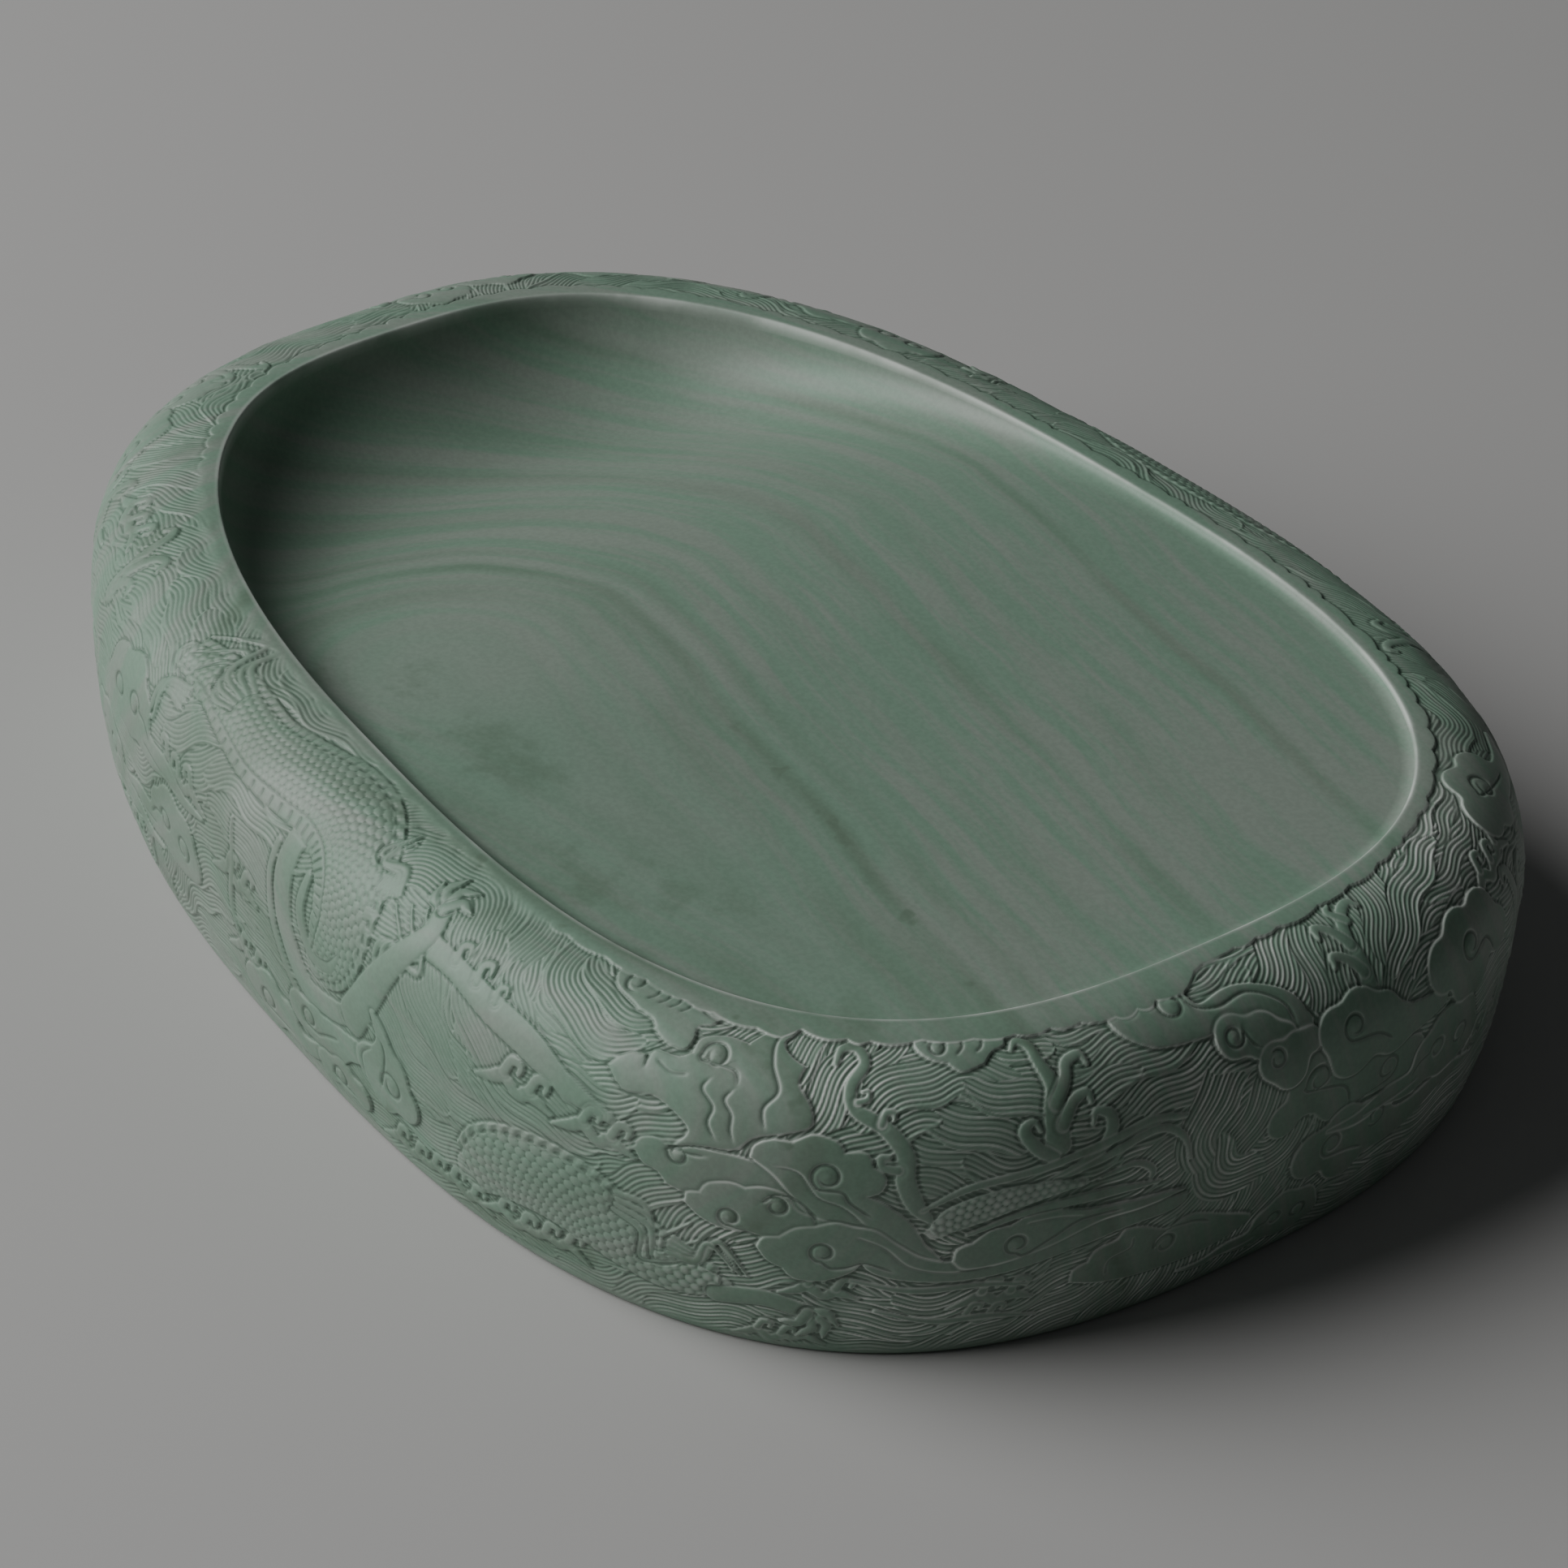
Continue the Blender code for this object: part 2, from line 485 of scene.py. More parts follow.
def cloud(s, t, size=1, way=1, level=0, tail=True):
    # a cloud head of scalloped lobes with two curls, and a tail that trails off to one side
    def at(ds, dt, r):
        return (s + way * ds * size, t + dt * size, r * size)
    lobes = [at(-5.2, 1.6, 2.7), at(-3.2, -1.4, 3.4), at(1.2, -2.4, 3.6), at(4.8, -0.6, 3),
        at(0.6, 1.4, 3.8), at(-2.4, 2.2, 2.8)]
    trail = None
    if tail:
        trail = [at(3, 1, 3), at(8, 2.6, 2.1), at(13, 2.2, 1.5), at(18, 3.2, 0.9), at(23, 2.8, 0.3)]
    plate(lobes, level, tail=trail)
    q = at(-2.8, 0.6, 1.9)
    curl(q[0], q[1], q[2], start=100, way=way)
    q = at(2.6, -0.2, 1.7)
    lead = [at(8.5, 2.2, 0)[:2], at(6.2, 0.2, 0)[:2]]
    curl(q[0], q[1], q[2], start=0 if way > 0 else 180, way=-way, lead=lead)
    if tail:
        groove([at(6, 2.6, 0)[:2], at(11, 3.2, 0)[:2], at(17, 3.3, 0)[:2]], 0.10)


def bank(s, t, size=1, way=1):
    # clouds in front of clouds
    cloud(s + way * 9 * size, t - 6 * size, 0.9 * size, way, level=-0.12, tail=False)
    cloud(s - way * 3 * size, t - 3 * size, 1 * size, -way, level=-0.06, tail=True)
    cloud(s + way * 2 * size, t + 3 * size, 1.15 * size, way, level=0)


# how far out the smooth lip runs before the carving starts, at places round the front
lipLine = ((100, 2.4), (115, 1.8), (140, 1.7), (168, 2), (180, 3), (195, 3), (212, 4.4), (221, 5),
    (223.5, 3.6), (232, 4.4), (240, 4), (253, 4.8), (262, 5), (269, 6), (279, 5.4), (284, 3.1),
    (300, 2.9), (330, 2.4), (360, 2.6))


def trimLip():
    # the smooth lip ends in a line of shallow scallops
    knots = np.array(lipLine)
    line = np.interp(gridS, knots[:, 0], knots[:, 1]) - 0.35
    start = 0
    while start < girth:
        reach = min(chance.uniform(3, 8), girth - start)
        share = (gridS - start) / reach
        line += np.where((share >= 0) & (share < 1),
            chance.uniform(0.35, 0.65) * 4 * share * (1 - share), 0)
        start += reach
    rows = np.where(gridT < 9)[0]
    cells = np.ix_(rows, np.arange(gridColumns))
    edge = gridT[rows][:, None] - line[None, :]
    # past the middle of the left side the lip dies away into the water with hardly a step
    crisp = (ease(gridS, 176, 198) + 1 - ease(gridS, 40, 70))[None, :]
    gentle = 1 - ease(edge, -0.9, 1.5)
    before = height[cells].copy()
    paleMark = dustAndHighlight[cells] * (1 - gentle)
    lay(cells, edge, -0.05 * np.exp(np.minimum(edge, 0) / 0.4), 0.9)
    height[cells] = height[cells] * crisp + before * (1 - gentle) * (1 - crisp)
    dustAndHighlight[cells] = dustAndHighlight[cells] * crisp + paleMark * (1 - crisp)


def scales(u, v, size):
    # rows of small beads, each row shifted by half a bead
    rowPitch = 0.80 * size
    best = np.zeros(u.shape)
    for shift in (0, 0.5):
        cu = (np.round(u / size - shift) + shift) * size
        cv = (np.round(v / (2 * rowPitch) - shift) + shift) * 2 * rowPitch
        d = np.hypot(u - cu, v - cv) / (0.56 * size)
        best = np.maximum(best, np.sqrt(np.clip(1 - d ** 2, 0, 1)))
    return best


def body(points, size=1.30, fringe=1, belly=0):
    # a length of a scaled, coiling body; each point is s, t and half width
    path = smoothPath(points, 0.5)
    widest = path[:, 2].max() + 2.4
    cells, s, t = patch(*boxOf(path, widest + 0.8))
    u, v, length = along(s, t, path)
    wide = np.interp(u, np.linspace(0, length, len(path)), path[:, 2])
    if fringe:
        # a corded fringe stands outside the back
        edge = np.abs(v * fringe - wide - 0.60) - 0.75
        edge = np.maximum(edge, np.maximum(0.4 - u, u - length + 0.4))
        cord = 0.5 + 0.5 * np.cos(2 * math.pi * (u + 0.5 * v) / 1.5)
        lay(cells, edge, -0.20 + 0.16 * cord, 0.5)
        dustAndHighlight[cells] = np.where(edge < -0.1, 0.35 * (1 - cord) ** 2, dustAndHighlight[cells])
    edge = np.maximum(np.abs(v) - wide, np.maximum(-u, u - length))
    round_ = np.sqrt(np.clip(1 - 0.85 * (v / wide) ** 2, 0, 1))
    bead = scales(u, v, size)
    top = -0.38 + 0.26 * round_ + 0.21 * bead
    paleMark = 0.55 * bead ** 3
    if belly:
        bellySide = v * belly - wide + np.minimum(2.2, 0.42 * wide)
        onBelly = ease(bellySide, -0.10, 0.10)
        tick = bell(np.mod(u, 2.1) - 1.05, 0.30) * ease(bellySide, 0.2, 0.7)
        top = top * (1 - onBelly) + (-0.12 + 0.10 * round_ - 0.16 * tick) * onBelly
        top -= 0.12 * bell(bellySide, 0.22)
        paleMark = paleMark * (1 - onBelly)
    lay(cells, edge, top, 0.5)
    dustAndHighlight[cells] = np.where(edge < -0.2, paleMark, dustAndHighlight[cells])


def claw(s, t, reach, aim, bend, half):
    # one curved toe with a sharp nail
    a = math.radians(aim)
    b = math.radians(aim + bend)
    knee = onward((s, t), 0.6 * reach, a)
    path = [(s, t, half), (*knee, 0.95 * half)]
    for share, thick in ((0.3, 0.7), (0.6, 0.25)):
        path.append((*onward(knee, share * reach, b), thick * half))
    finger(path, level=-0.02, dome=0.22, rim=0.5)


def leg(points, aim):
    # a limb that ends in four toes
    finger(points, level=-0.02, dome=0.26, rim=0.5)
    s, t = points[-1][:2]
    for spread, reach in ((-64, 3.9), (-24, 4.6), (16, 4.4), (58, 3.7)):
        claw(s, t, reach, aim + spread, 60, 0.78)


def hair(s, t, aim, length, count, way=1):
    # locks that stream back in a bundle
    for i in range(count):
        a = math.radians(aim + way * 7 * (i - count / 2))
        b = a + math.radians(34 * way)
        off = (i - count / 2) * 0.9
        root = (s - off * math.sin(a), t + off * math.cos(a))
        far = length * (0.8 + 0.2 * ((i * 7) % 5) / 4)
        path = [(*root, 0.5)]
        for share, angle, half in ((0.4, a, 0.55), (0.7, b, 0.4), (1, a, 0.15)):
            path.append((*onward(root, share * far, angle), half))
        finger(path, level=-0.12, dome=0.20, rim=0.4)


def coilsFront():
    # the long scaled body on the left, its plain loops, its limb and its mane
    finger([(142.5, 15, 1.8), (142.2, 21, 2), (143.4, 28, 2), (148, 33.4, 2), (155, 32.6, 1.6),
        (160, 29.6, 1)], -0.05, 0.14)
    finger([(139.5, 17, 0.6), (139.2, 23, 0.7), (140.4, 30, 0.8), (146, 36.6, 0.7),
        (155, 35.6, 0.4)], -0.12, 0.12)
    body([(104, 10.5, 1.8), (112, 9.6, 2.8), (120, 10.2, 3.6), (128, 10.9, 4.2), (136, 10, 4.9),
        (143, 9, 5.5), (149, 10.2, 5.9), (153.4, 14.4, 5.9), (154.4, 20, 5.2), (152.6, 25, 4),
        (150, 28.4, 2)], fringe=-1, belly=1)
    finger([(147.2, 17.5, 0.7), (146.8, 23, 1), (149.2, 27.2, 1), (153.4, 26.8, 0.9),
        (155.8, 23.8, 0.4)], -0.04, 0.14)
    hair(161, 12, -118, 9, 5, -1)
    hair(165, 21, -80, 11, 4)
    leg([(158.5, 31, 2.6), (162, 25.5, 2.4), (166.2, 18.5, 1.9), (169.6, 12.6, 1.6), (169, 9, 1.4)],
        -110)
    hair(118, 8, 190, 14, 5, 1)
    hair(110, 13.5, 165, 15, 4, -1)
    # the lower coil
    body([(181.5, 40.5, 2.8), (186, 36.8, 4.6), (192, 35, 5.4), (198.5, 35.2, 5.6),
        (205, 37.6, 4.9), (211, 39.8, 3.7), (217.5, 40.2, 1.6)], fringe=-1, size=1.45)
    hair(204, 32.6, 18, 12, 4, 1)
    hair(211, 36.2, 8, 10, 4, -1)
    leg([(217, 41.5, 1.5), (223, 40.6, 1.4), (228, 42, 1.3)], 60)
    body([(242, 28.6, 1), (244.5, 26.6, 1.9), (250, 24.9, 1.9), (256, 24.2, 1.1), (260, 24.4, 0.5)],
        size=1.15, fringe=0)


def cloudsFront():
    # hanging from the lip
    sheet([(194.6, 1.2), (195.2, 3.6), (196.6, 5.4), (199.4, 6.3), (201.2, 7, 1), (203.8, 7.5),
        (204.8, 8.6, 1), (207.2, 9.7), (209.6, 9.6), (210.2, 8), (209.9, 6.4), (211.8, 5.2),
        (212.2, 1.2)])
    curl(198.6, 3.7, 1.7, start=40)
    for i in range(4):
        groove([(200.4 + 1.7 * i, 1.9), (202 + 1.7 * i, 3), (202.2 + 1.7 * i, 4.4),
            (201 + 1.7 * i, 5.6)], 0.14)
    groove([(208, 2.4), (209.6, 4.2), (212, 4.8), (215.6, 4.6)], 0.12)
    sheet([(201, 14.4), (202.8, 12.4), (205.2, 11.6), (205.6, 13), (206, 10.8), (209.2, 10.6),
        (210.6, 9.6, 1), (211, 7.6), (214, 6.4), (217.2, 6.6, 1), (219, 4.6), (221.6, 2.2),
        (223.2, 3.4), (222, 5.6), (223.4, 7.2), (225.4, 8.2, 1), (225, 10.4), (226.8, 12.6),
        (227.2, 15), (224.6, 16.2), (220.8, 17.4), (218.4, 19.4), (214.6, 20), (213, 20.4),
        (211.4, 20.8), (212.8, 18.6), (211, 17), (207.6, 15.8), (204, 16.4)])
    curl(213.8, 9.2, 1.9, start=150, lead=[(217.6, 12.6), (216.6, 10.4)])
    groove([(214.4, 11.4), (213.4, 13.2), (215.2, 15), (215, 17), (216.6, 19.2)], 0.14, step=0.05)
    groove([(217.6, 12), (216.4, 13.8), (217.6, 15.4), (217.8, 17.2), (218.6, 19)], 0.14, step=0.05)
    groove([(222.2, 2.6), (220.8, 5.6), (221.2, 8.6), (222.6, 11.6), (221.2, 14), (222, 16.8)],
        0.14, step=0.04)
    groove([(206.4, 11.6), (209, 12.6), (211.4, 12.2)], 0.11)
    sheet([(239.8, 2.4), (239.9, 4.8), (241.6, 6.4), (244, 7.2, 1), (245.8, 8.4), (249, 7.6, 1),
        (250.4, 6.2), (252.4, 5.4), (252.4, 3.4), (250.6, 2.6), (249.6, 1.4)])
    curl(242.9, 4.8, 1.7, start=180)
    groove([(240.2, 3.2), (242.4, 2), (245.4, 2.8), (246.6, 4.8), (245.2, 6.4)], 0.12)
    groove([(247, 2.4), (249.2, 3.4), (249.2, 5.2), (247.8, 6.2)], 0.11)
    for i in range(3):
        groove([(262 + 1.7 * i, 1.8), (261 + 1.7 * i, 3.2), (262.2 + 1.7 * i, 4.4)], 0.13)
    # the great clouds at the front, each in front of the last
    sheet([(206.4, 23.2), (207, 21.4), (209.2, 20.6), (211.2, 21.6, 1), (213.4, 20.4), (217.4, 20),
        (221, 20.2), (226, 21), (230, 24), (229, 28), (222, 29), (214.4, 27.4), (210.6, 26.6, 1),
        (209.4, 25.2), (207.6, 24.8)], -0.09)
    curl(211.9, 22, 1.25, start=200, way=-1, lead=[(216, 20.9), (213.9, 21.4)])
    sheet([(220.4, 19.8), (220.8, 18.2), (222.8, 17.1), (225.2, 17, 1), (227.6, 15.8),
        (230.4, 16.4), (231.4, 17.6, 1), (233.8, 17.5), (234.8, 19.2, 1), (236.2, 20.4),
        (235.8, 22.4), (234.4, 23.2, 1), (236.8, 24.6), (239.4, 27), (241.2, 30.2), (243.4, 33.6),
        (236, 31.4), (230, 28.6), (226.4, 25), (223.4, 21.6)], -0.05)
    curl(229.5, 20.9, 2, start=110, lead=[(235.4, 26.6), (232.4, 24.4), (231.3, 22.9)])
    groove([(222.6, 20.4), (226.2, 20.8), (228.6, 23.8), (231.6, 25), (234.6, 27.8)], 0.10,
        step=0.03)
    sheet([(213, 28.4), (213.2, 26.8), (214.8, 26.2, 1), (215.8, 24.6), (218.4, 23.7),
        (220.2, 24, 1), (222.4, 23.4), (225, 24), (226.4, 26), (229.6, 27), (234.4, 28),
        (237.2, 31.2), (231.2, 33.6), (226, 32), (221.4, 30.6), (218, 30.8), (215, 30)], -0.01)
    curl(224, 25.9, 1.5, start=200, lead=[(228.6, 28.4), (228.2, 26.6), (226.3, 24.7),
        (223.9, 24.3)])
    curl(218.5, 28.8, 1.5, start=90, lead=[(222.4, 30.6), (220.5, 30.5)])
    sheet([(221.7, 32.4), (222.4, 30.8), (224.4, 30.2, 1), (226.2, 28.6), (228.4, 28, 1),
        (230.8, 27.1), (232.8, 27.5, 1), (235.4, 28), (238.2, 30.2), (241.2, 32.2), (245.2, 33),
        (252, 31.6), (262, 30.2), (270.6, 30.6), (274.6, 31.2), (273, 33), (266, 33.3), (258, 34.6),
        (252, 35.8), (245.6, 36.4), (239.4, 35.9), (235.6, 34.8), (234, 33.4, 1), (232.4, 35),
        (229.4, 36.4), (226.2, 36.4), (224.8, 35, 1), (223, 34.2)], 0.05)
    curl(229.5, 31.8, 1.65, start=90, lead=[(238.4, 34.6), (234.6, 33.2), (232.4, 33.9),
        (230.6, 34.2)])
    groove([(233, 29), (236.4, 30.6), (239.6, 33.6), (244.4, 34.8), (249.6, 34.2)], 0.09)
    sheet([(244.4, 33), (244.8, 31.2), (246.6, 30.4, 1), (248.6, 28.8), (251, 28.4, 1),
        (253.6, 27.2), (257.2, 27.4), (261, 28.4), (266, 29), (271.6, 29.6), (274.2, 30.4),
        (268, 30.8), (262.4, 30.8), (256, 32.8), (250, 34.2), (246, 34.4)], 0.10)
    curl(252, 31.4, 1.6, start=90, lead=[(266, 30), (260, 29.8), (256.4, 31.6), (253.2, 33.4)])
    groove([(252.6, 28.6), (256.6, 28.6), (260.4, 29.4)], 0.09)
    finger([(246, 29.2, 0.3), (253, 27, 0.6), (262, 26.8, 0.8), (270, 27.6, 0.3)], -0.06, 0.12)
    # low flat clouds under them
    sheet([(259.6, 40), (259.8, 38), (261.6, 37.2, 1), (262.6, 35.6), (265.4, 34.8), (266.2, 33.6),
        (269, 34.2), (272.6, 36), (276, 35.2), (281, 37.4), (286, 40.4), (280, 42.6), (270, 42.4),
        (263.6, 41.4)], -0.04)
    curl(272.6, 38.4, 1.6, start=180, lead=[(279.6, 38), (276.6, 36.6), (273.2, 36.3),
        (271.2, 37.2)])
    groove([(264.4, 40.6), (264.6, 38), (267.4, 37), (267.6, 35)], 0.12)
    # a long scroll from the lip
    plate([(271.5, 5.5, 4.4), (275, 6.8, 4.1)], 0, tail=[(273, 7.6, 3.4), (279, 9.6, 2.1),
        (285, 9.4, 2.4), (289.6, 12, 2.6), (291.6, 14.6, 1.9)])
    curl(276.2, 6.5, 2.1, start=-30, way=-1, turns=1.35, lead=[(291, 15), (290.2, 11.4),
        (286.5, 8.6), (282, 8.9), (279, 7.8)])
    plate([(282, 12.8, 2.7), (285.8, 14, 2.9), (288.8, 15.4, 2)], 0.05)
    curl(282, 12.8, 1.5, start=0, way=1, lead=[(286, 15.6), (284.4, 14.6)])
    # the heap to the right
    plate([(293, 23, 4.4), (298, 25.5, 5), (304, 25, 4.6), (309, 27.5, 3.8), (288.5, 26.5, 2.6)],
        -0.10)
    curl(293.6, 22.6, 2.2, start=150, lead=[(299.5, 29.5), (297.8, 25.6)])
    curl(305.6, 26.6, 1.9, start=80, way=-1, lead=[(298.8, 29.8), (302, 29)])
    plate([(286.8, 17.6, 2.5), (290.2, 17, 2), (292.6, 16.9, 1.7), (289, 19.4, 2.6)], 0.02)
    curl(287.2, 17.4, 1.4, start=200)
    plate([(296.6, 17.4, 3), (300.6, 16.8, 3.3), (304.2, 18.6, 3.2), (299, 20.5, 4),
        (306, 21.4, 3)], 0.04, tail=[(302, 19.5, 3.4), (309, 21.2, 2.3), (315, 21.2, 1.5)])
    curl(299.4, 17.8, 1.9, start=90, lead=[(306.2, 22.6), (303.2, 20.4)])
    plate([(316.4, 17.6, 3.5), (321, 16, 3.8), (326.4, 16, 3.6), (329.4, 19.4, 3),
        (322, 20.5, 4.8)], 0.05)
    curl(322.4, 17.6, 2.1, start=60, lead=[(328.6, 22.6), (326.2, 18.8)])
    plate([(294.5, 34.5, 3.6), (299, 32.6, 3.6), (304, 33.6, 3.6), (300, 37, 3.8)], 0.02, tail=[
        (302, 35.4, 3.4), (310, 36.4, 2.2), (318, 34.8, 1.4), (325, 35.6, 0.5)])
    curl(297.4, 34.2, 1.9, start=100, lead=[(303.6, 37.6), (300.6, 36.6)])
    curl(304.8, 33.4, 1.6, start=180, way=-1)
    cloud(318, 29, 0.95, -1, level=0)
    plate([(341.5, 9.6, 3.4), (346, 7, 3.8), (351.2, 8.4, 3.6), (346.5, 11, 3.6)], 0.02, tail=[
        (348, 10, 3), (356, 12.6, 1.8), (363, 12, 0.6)])
    curl(347.4, 8.8, 2.2, start=180, lead=[(354.6, 12), (352, 11.4)])
    # low clouds at the foot of the wall
    plate([(133, 42.5, 2.6), (137, 41.6, 3.2), (141.5, 42.6, 2.6), (136.5, 45, 2.6)], 0, tail=[
        (139, 43.5, 2.6), (145, 44.6, 1.6), (150, 42.6, 1.2), (154, 40.4, 0.6)])
    curl(136.2, 43.4, 1.9, start=120, lead=[(142.4, 45.4), (139, 45.2)])
    plate([(145.4, 38.6, 2.8), (149.4, 38.4, 2.8), (154, 38.4, 2.6)], -0.02, tail=[(148, 38.8, 2.6),
        (156, 37, 2.2), (162, 35.2, 1.4)])
    curl(147.6, 38.4, 1.7, start=120, lead=[(155.4, 36.8), (151.6, 38.6), (149.4, 39.8)])
    plate([(151, 43.8, 2.4), (154.8, 43, 2.8), (158.4, 43.6, 2.2)], 0.04)
    curl(154, 43.6, 1.7, start=150, lead=[(158.6, 45.2), (156.2, 44.8)])
    plate([(162.4, 36, 3.2), (166.6, 34.6, 3.6), (169, 37.6, 2.8), (164.6, 38.6, 3)], 0.02, tail=[
        (164, 36.4, 3), (165.4, 31, 1.6), (163.4, 27.4, 0.6)])
    curl(166.6, 36.6, 2.2, start=160, lead=[(164.4, 29.6), (165.6, 32.4)])
    groove([(161, 39.2), (160.4, 35.4), (163, 32.6)], 0.13)
    cloud(292, 43, 0.7, -1, level=-0.05)
    cloud(112, 33, 1, -1, level=-0.04)
    cloud(96, 22, 1.1, 1, level=-0.04)
    cloud(84, 36, 1, 1, level=-0.02)


def streamEdge(points):
    finger(points, level=-0.14, dome=0.14)


def wavesFront():
    whirl(285, 25, 13)
    # tall stems of spray
    finger([(229.2, 7.2, 0.45), (229.8, 5.2, 0.6), (231.8, 4.9, 0.75), (233, 7, 0.8),
        (231.4, 10, 0.8), (232.2, 12.6, 0.9), (235.8, 14.6, 1), (238.2, 17.6, 1.1),
        (238.4, 21, 1.2), (239.8, 24.6, 1.1), (242, 27.2, 0.4)])
    hook(235.4, 14.2, 0.9, -70, 1)
    hook(237.4, 19.6, 1.1, 190, 1)
    hook(232.4, 11.8, 0.8, -20, -1)
    finger([(256.4, 18.5, 1.7), (256.4, 14.6, 1.4), (256.9, 11.6, 1.1), (255.9, 8.4, 0.85),
        (255.4, 6.2, 0.75), (254, 5.2, 0.6), (253, 6.2, 0.35)])
    finger([(256.8, 13.6, 1), (258.6, 11, 0.8), (259.4, 9.2, 0.75), (261.4, 8.6, 0.6),
        (262, 9.9, 0.35)])
    finger([(257.2, 16.2, 0.9), (259, 13.8, 0.75), (260.8, 13.2, 0.6), (261.2, 14.4, 0.35)])
    finger([(255.8, 20, 0.9), (253.6, 18.2, 0.9), (252.4, 16.2, 0.8), (253.6, 15.2, 0.5),
        (254.4, 16.4, 0.3)])
    finger([(252, 24, 0.4), (258, 22.4, 0.8), (262.6, 19.6, 0.9), (263.4, 16.6, 0.8),
        (261.6, 15.6, 0.5), (261, 17, 0.3)])
    finger([(303, 15.5, 1.4), (303.6, 11.4, 1.1), (303.8, 8, 0.95), (305.6, 5.2, 0.85),
        (308, 3.9, 0.7), (309.2, 5, 0.4)])
    finger([(303.6, 8.8, 0.9), (302.4, 6.2, 0.75), (300.8, 5, 0.65), (300.2, 6.4, 0.35)])
    finger([(303.2, 12.4, 0.9), (301.8, 10.2, 0.75), (300.2, 9.2, 0.6), (299.6, 10.4, 0.35)])
    finger([(305.8, 6, 0.7), (304.4, 3.9, 0.55), (305.4, 3, 0.3)])
    # a long arm of spray across the left
    finger([(170, 13.4, 1.7), (176, 13.8, 1.5), (183, 15.2, 1.9), (190, 16.6, 2), (196, 18.8, 1.5),
        (203, 20.6, 0.7)], -0.06, 0.12)
    for s, t, size in ((175.4, 13, 1.15), (179.6, 13.6, 1.25), (183.4, 14.4, 1)):
        hook(s, t, size, -100, 1)
    for place in ((187.4, 21.4, 2, 1.15), (199.4, 22.2, 2, 1.1), (166.5, 44.2, 5), (186, 43, 4),
            (228, 37, 2, 0.9), (248.5, 38.6, 2), (247, 42, 2, 0.8), (118, 22, 3, 1, -1),
            (128.5, 27, 2, 1.1), (130.5, 38, 2), (331, 12, 3), (326, 33, 3), (222, 46, 3, 0.8)):
        surf(*place)
    spray(338, 24)
    # strong edges that run through the water
    streamEdge([(240.5, 25.2, 0.3), (246, 22.4, 0.55), (254, 21.2, 0.55), (262, 19.8, 0.6),
        (269, 18.8, 0.7), (273.5, 19.6, 0.3)])
    streamEdge([(256, 23.2, 0.3), (263, 21.4, 0.6), (269.4, 20, 0.6), (273, 22.2, 0.5),
        (274.4, 26, 0.2)])
    streamEdge([(262, 24.4, 0.3), (266.4, 23.8, 0.5), (269, 25.6, 0.5), (268.6, 27.6, 0.3)])
    streamEdge([(129, 20, 0.3), (129.6, 26, 0.6), (128.6, 33, 0.6), (131, 40, 0.3)])
    streamEdge([(233, 36, 0.3), (240, 37.6, 0.5), (248, 37.4, 0.5), (254, 38.4, 0.3)])
    streamEdge([(236, 41, 0.3), (243, 43, 0.5), (250, 43, 0.5), (256, 44.4, 0.2)])


def farSide():
    # the side away from the front has the same kinds of ornament in another order
    for s, t, size, way in ((12, 30, 1.05, 1), (42, 17, 1, -1), (64, 38, 0.95, 1),
            (374, 24, 1.1, 1), (400, 41, 0.9, -1), (492, 14, 1, -1), (524, 18, 1.05, 1),
            (556, 36, 1, -1), (554, 13, 0.9, 1)):
        bank(s, t, size, way)
    body([(392, 27, 2.4), (402, 20, 3.8), (414, 14.5, 4.7), (428, 12.5, 5.2), (442, 14, 5.5),
        (450, 20.5, 5.2), (450, 28, 4), (444, 32.5, 2)], fringe=-1, belly=1)
    leg([(458, 33, 2.6), (462, 26, 2.3), (466, 19, 1.9), (468, 13, 1.6), (468, 10, 1.4)], -92)
    body([(484, 44, 2.4), (493, 38, 4.4), (504, 34.5, 5.2), (516, 36, 5.2), (527, 41, 2.6)],
        fringe=-1)
    hair(396, 20, 185, 14, 5, 1)
    for s, t, size, way in ((26, 13, 1, 1), (58, 20, 1, -1), (80, 15, 1, 1), (364, 30, 1, -1),
            (384, 13, 1, 1), (430, 33, 0.9, -1), (481, 28, 1, 1), (506, 15, 1, -1), (540, 28, 1, 1),
            (568, 18, 1, -1)):
        spray(s, t, size, way)
    for s, t, count in ((5, 42, 4), (34, 42, 5), (66, 10, 3), (84, 44, 4), (356, 43, 5),
            (392, 33, 3), (432, 44, 5), (466, 43, 4), (540, 44, 5)):
        surf(s, t, count)


def carveWall():
    combWater()
    wavesFront()
    farSide()
    coilsFront()
    cloudsFront()
    trimLip()
    fade = ease(gridT, *carving["fadeAtBase"])[:, None]
    start = ease(gridT, tiling["firstT"] + 0.15, tiling["firstT"] + 0.8)[:, None]
    keep = (1 - fade) * start
    # the pale dust and the painted crest highlight are strongest round the broad end
    broad = ease(gridS, 196, 232) * (1 - ease(gridS, 332, 352))
    share = carving["paleElsewhere"] + (1 - carving["paleElsewhere"]) * broad
    return height * keep, np.minimum(dustAndHighlight, 1) * keep * share[None, :]


def soften(field, reach):
    # a blur that wraps round the stone
    out = field
    for _ in range(2):
        total = np.zeros_like(out)
        for step in range(-reach, reach + 1):
            total += np.roll(out, step, 1)
        out = total / (2 * reach + 1)
        padded = np.pad(out, ((reach, reach), (0, 0)), mode="edge")
        total = np.zeros_like(out)
        for step in range(2 * reach + 1):
            total += padded[step:step + len(out)]
        out = total / (2 * reach + 1)
    return out


height, dustAndHighlight = carveWall()
print("carving laid out:", height.shape, "from", round(float(height.min()), 2), "to",
    round(float(height.max()), 2), "mm")


def placedWall():
    # every point of the carved wall, with its normal, in metres
    x, y, z = wallPoint(gridS[None, :], gridT[:, None])
    x, y, z = np.broadcast_arrays(x, y, z)
    plain = np.stack([x, y, z], -1)
    out = gridNormals(plain)
    carved = plain + out * height[..., None]
    return carved * metre, gridNormals(carved)


